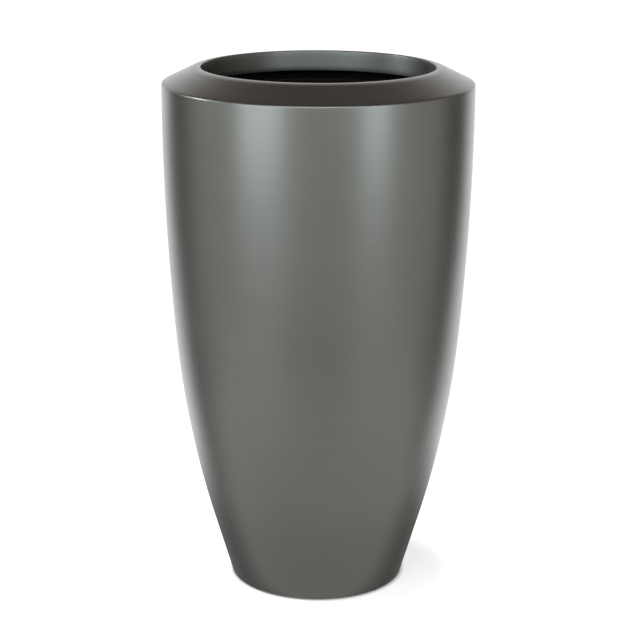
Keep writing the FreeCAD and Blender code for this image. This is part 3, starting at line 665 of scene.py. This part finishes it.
class PLANTER_OT_stage(Operator):
    """Set the pale floor, the studio light and the camera"""

    bl_idname = "planter.stage"
    bl_label = "Stage"

    CAMERA_PLACE = (0.0, -3.147, 1.347)
    CAMERA_TILT = math.radians(74.44)
    CAMERA_ROLL = math.radians(0.231)
    LENS = 105.24

    # The floor as the camera sees it: white, with a faint shadow at the right of the foot, partly painted by
    # lowering the glow there.
    # Each pair of distances, in metres, is where a change starts and where it ends.
    FLOOR_RADIUS = 40.0
    FLOOR_SIDES = 96
    FLOOR_PAINT = (0.50, 0.475, 0.46)
    FLOOR_GLOW = 1.0
    # Painted shadow: the glow is lowered to this level in the circle beside the foot.
    SHADOW_GLOW = 0.68
    SHADOW_CENTRE = (0.075, -0.01, 0.0)
    SHADOW_FADE = (0.13, 0.22)
    # Painted contact shadow: no glow within this ring under the foot, which draws a dark line.
    PAINTED_CONTACT_LINE = (0.146, 0.162)

    # The floor as the lacquer mirrors it, a painted reflection that glows by emission: brighter in front,
    # with a painted pool of light near the foot and a painted glow on each flank, painted dark at the sides
    # and white behind.
    # Painted shade: in reflections the floor wears this darker paint than the camera sees.
    DARK_PAINT = (0.2, 0.2, 0.2)
    FRONT_COLOUR = (1.0, 0.98, 0.93)
    SIDE_COLOUR = (0.10, 0.09, 0.08)
    BACK_COLOUR = (1.05, 1.05, 1.05)
    FRONT_LEVEL = 0.66
    POOL_GAIN = 0.20
    FAR_GAIN = 0.30
    FLANK_GAIN = 0.55
    # Where each starts and ends, in metres from the axis.
    POOL_START = (0.22, 0.45)
    POOL_END = (0.75, 1.2)
    FAR_START = (1.2, 3.0)
    FLANK_NEAR = (0.5, 0.75)
    FLANK_FAR = (1.1, 1.8)
    BACK_START = (0.25, 0.8)
    # Where each starts and ends round the planter, from -1 in front to 1 behind.
    FLANK_START = (-0.97, -0.75)
    FLANK_END = (-0.5, -0.1)
    SIDE_EDGES = (-0.05, 0.46)
    BACK_EDGES = (0.58, 0.79)
    BACK_NARROWING = 0.06
    # How far the middle of that turn is moved, in metres.
    SIDE_SHIFT = (0.0, 0.15)
    BACK_SHIFT = (-0.07, 0.45)

    # The room as the lacquer mirrors it, on the Y and Z of a direction, and its diffuse strength.
    ROOM_AHEAD = (0.90, 0.88, 0.83)
    ROOM_SIDE = (0.20, 0.18, 0.16)
    ROOM_SIDE_EDGES = (0.05, 0.55)
    SWEEP_EDGES = (0.64, 0.80)
    CEILING = (0.22, 0.18, 0.15)
    CEILING_EDGES = (0.03, 0.95)
    FILL = 0.45

    LAMP_AIM = (0.0, 0.0, 0.5)
    LAMP_COLOUR = (0.81, 0.95, 1.0)
    # Name, place, width and height, and power in watts.
    LAMPS = (
        ("left_softbox", (-1.74, -2.09, 1.05), (1.6, 1.75), 36),
        ("right_softbox", (1.75, -2.1, 1.05), (1.0, 1.75), 22),
        ("front_softbox", (0.0, -2.5, 2.1), (2.6, 1.6), 48),
        ("side_softbox", (-2.4, 0.12, 1.5), (0.3, 0.7), 22),
    )

    def execute(self, context):
        self.set_camera(context.scene)
        self.set_floor()
        self.set_world(context.scene)
        self.set_lights()
        context.scene.view_settings.view_transform = "Standard"
        return {"FINISHED"}

    def set_camera(self, scene):
        bpy.ops.object.select_all(action="DESELECT")
        bpy.ops.object.camera_add(location=self.CAMERA_PLACE)
        camera = bpy.context.object
        camera.rotation_mode = "ZYX"
        camera.rotation_euler = (self.CAMERA_TILT, 0, self.CAMERA_ROLL)
        camera.data.lens = self.LENS
        scene.camera = camera

    def set_floor(self):
        bpy.ops.object.select_all(action="DESELECT")
        bpy.ops.mesh.primitive_circle_add(
            vertices=self.FLOOR_SIDES, radius=self.FLOOR_RADIUS, fill_type="NGON")
        floor = bpy.context.object
        floor.name = "studio_floor"
        finish = new_finish("studio_floor")
        point = finish.node("ShaderNodeTexCoord", output="Object")
        paint = finish.node("ShaderNodeBsdfDiffuse", inputs={"Color": rgba(self.FLOOR_PAINT)})
        viewed = self.viewed_floor(finish, point, paint)
        shader = self.by_ray(finish, "Is Glossy Ray", paint, self.mirrored_floor(finish, point))
        shader = self.by_ray(finish, "Is Transmission Ray", shader, viewed)
        shader = self.by_ray(finish, "Is Camera Ray", shader, viewed)
        below = finish.node("ShaderNodeNewGeometry", output="Backfacing")
        clear = finish.node("ShaderNodeBsdfTransparent")
        shader = self.either(finish, below, shader, clear)
        finish.node("ShaderNodeOutputMaterial", inputs={"Surface": shader})
        floor.data.materials.append(finish.owner)

    def viewed_floor(self, finish, point, paint):
        """Paint that glows white, less beside the foot as painted shadow where the lamps' shadow shows, and
        not under it, which paints a dark contact line.
        """
        # painted shadow: the glow is dimmed beside the foot and taken away under it
        outside_painted_shadow = finish.band(finish.distance(point, self.SHADOW_CENTRE), *self.SHADOW_FADE)
        outside_painted_contact_line = finish.band(finish.distance(point), *self.PAINTED_CONTACT_LINE)
        glow = finish.node("ShaderNodeEmission", inputs={
            "Strength": (outside_painted_shadow * (self.FLOOR_GLOW - self.SHADOW_GLOW) + self.SHADOW_GLOW) * outside_painted_contact_line})
        return finish.node("ShaderNodeAddShader", inputs={"Shader": paint, "Shader_001": glow})

    # Painted reflection: the floor that glossy rays see, a glow shaped by place over a darker paint.
    def mirrored_floor(self, finish, point):
        outward = finish.distance(point)
        front = finish.mix(self.painted_front_light(finish, point, outward), BLACK, self.FRONT_COLOUR)
        side = finish.band(self.facing(finish, point, self.SIDE_SHIFT), *self.SIDE_EDGES)
        behind = self.facing(finish, point, self.BACK_SHIFT)
        behind = behind - finish.band(outward, *self.FAR_START) * self.BACK_NARROWING
        back = finish.band(behind, *self.BACK_EDGES) * finish.band(outward, *self.BACK_START)
        colour = finish.mix(back, finish.mix(side, front, self.SIDE_COLOUR), self.BACK_COLOUR)
        painted_glow = finish.node("ShaderNodeEmission", inputs={"Color": colour})
        paint = finish.node("ShaderNodeBsdfDiffuse", inputs={"Color": rgba(self.DARK_PAINT)})
        return finish.node("ShaderNodeAddShader", inputs={"Shader": paint, "Shader_001": painted_glow})

    def painted_front_light(self, finish, point, outward):
        """Painted light on the floor in front, seen only in reflections: a pool near the foot, a rise far off
        and a glow on each flank.
        """
        pool = finish.between(outward, self.POOL_START, self.POOL_END) * self.POOL_GAIN
        far = finish.band(outward, *self.FAR_START) * self.FAR_GAIN
        flanks = finish.between(self.facing(finish, point), self.FLANK_START, self.FLANK_END)
        flanks = flanks * finish.between(outward, self.FLANK_NEAR, self.FLANK_FAR)
        return pool + far + self.FRONT_LEVEL + flanks * self.FLANK_GAIN

    def facing(self, finish, point, shift=(0.0, 0.0)):
        """How far a place lies towards the back, from -1 in front to 1 behind."""
        moved = finish.node("ShaderNodeVectorMath", {"operation": "ADD"},
                            {"Vector": point, "Vector_001": (*shift, 0.0)})
        direction = finish.node("ShaderNodeVectorMath", {"operation": "NORMALIZE"}, {"Vector": moved})
        return finish.node("ShaderNodeSeparateXYZ", inputs={"Vector": direction}, output="Y")

    def either(self, finish, factor, first, second):
        return finish.node(
            "ShaderNodeMixShader", inputs={"Fac": factor, "Shader": first, "Shader_001": second})

    def by_ray(self, finish, kind, others, this):
        """One shader for rays of a kind, and another for the others."""
        return self.either(finish, finish.node("ShaderNodeLightPath", output=kind), others, this)

    def seen(self, finish):
        """1 for a ray that shows the background itself: in view, mirrored or through glass."""
        rays = [finish.node("ShaderNodeLightPath", output=name)
                for name in ("Is Camera Ray", "Is Glossy Ray", "Is Transmission Ray")]
        return (rays[0] + rays[1] + rays[2]).clamped()

    def set_world(self, scene):
        """White in view. Mirrored, it is a white sweep behind, dim sides and a dark ceiling."""
        world = bpy.data.worlds.new("studio")
        scene.world = world
        finish = Finish(world)
        direction = finish.node("ShaderNodeTexCoord", output="Generated")
        along, height = [finish.node("ShaderNodeSeparateXYZ", inputs={"Vector": direction}, output=axis)
                         for axis in "YZ"]
        camera = finish.node("ShaderNodeLightPath", output="Is Camera Ray")
        round_about = finish.mix(
            finish.band(along, *self.ROOM_SIDE_EDGES), self.ROOM_AHEAD, self.ROOM_SIDE)
        round_about = finish.mix(finish.band(along, *self.SWEEP_EDGES), round_about, WHITE)
        mirrored = finish.mix(finish.band(height, *self.CEILING_EDGES), round_about, self.CEILING)
        colour = finish.mix(camera, mirrored, WHITE)
        strength = self.seen(finish) * (1 - self.FILL) + self.FILL
        background = finish.node("ShaderNodeBackground", inputs={"Color": colour, "Strength": strength})
        finish.node("ShaderNodeOutputWorld", inputs={"Surface": background})

    def set_lights(self):
        for name, place, size, power in self.LAMPS:
            aim = (Vector(self.LAMP_AIM) - Vector(place)).to_track_quat("-Z", "Y").to_euler()
            bpy.ops.object.light_add(type="AREA", location=place, rotation=aim)
            lamp = bpy.context.object
            lamp.name = name
            lamp.data.shape = "RECTANGLE"
            lamp.data.size, lamp.data.size_y = size
            lamp.data.energy = power
            lamp.data.color = self.LAMP_COLOUR
            lamp.visible_camera = False


class PLANTER_PT_panel(Panel):
    """The planter's pieces, sizes and finishes"""

    bl_idname = "PLANTER_PT_panel"
    bl_label = "Planter"
    bl_space_type = "VIEW_3D"
    bl_region_type = "UI"
    bl_category = "Planter"

    def draw(self, context):
        for operator in OPERATORS:
            self.layout.operator(operator.bl_idname)
        for group in (context.scene.planter_sizes, context.scene.planter_finishes):
            column = self.layout.column(align=True)
            for name in group.__annotations__:
                column.prop(group, name)


OPERATORS = (PLANTER_OT_barrel, PLANTER_OT_collar, PLANTER_OT_inside, PLANTER_OT_feet, PLANTER_OT_stage)
CLASSES = (PlanterSizes, PlanterFinishes, *OPERATORS, PLANTER_PT_panel)


def register():
    for cls in CLASSES:
        bpy.utils.register_class(cls)
    bpy.types.Scene.planter_sizes = PointerProperty(type=PlanterSizes)
    bpy.types.Scene.planter_finishes = PointerProperty(type=PlanterFinishes)


def unregister():
    del bpy.types.Scene.planter_finishes
    del bpy.types.Scene.planter_sizes
    for cls in reversed(CLASSES):
        bpy.utils.unregister_class(cls)


def main():
    register()
    bpy.ops.planter.barrel()
    bpy.ops.planter.collar()
    bpy.ops.planter.inside()
    bpy.ops.planter.feet()
    bpy.ops.planter.stage()


if __name__ == "__main__":
    main()
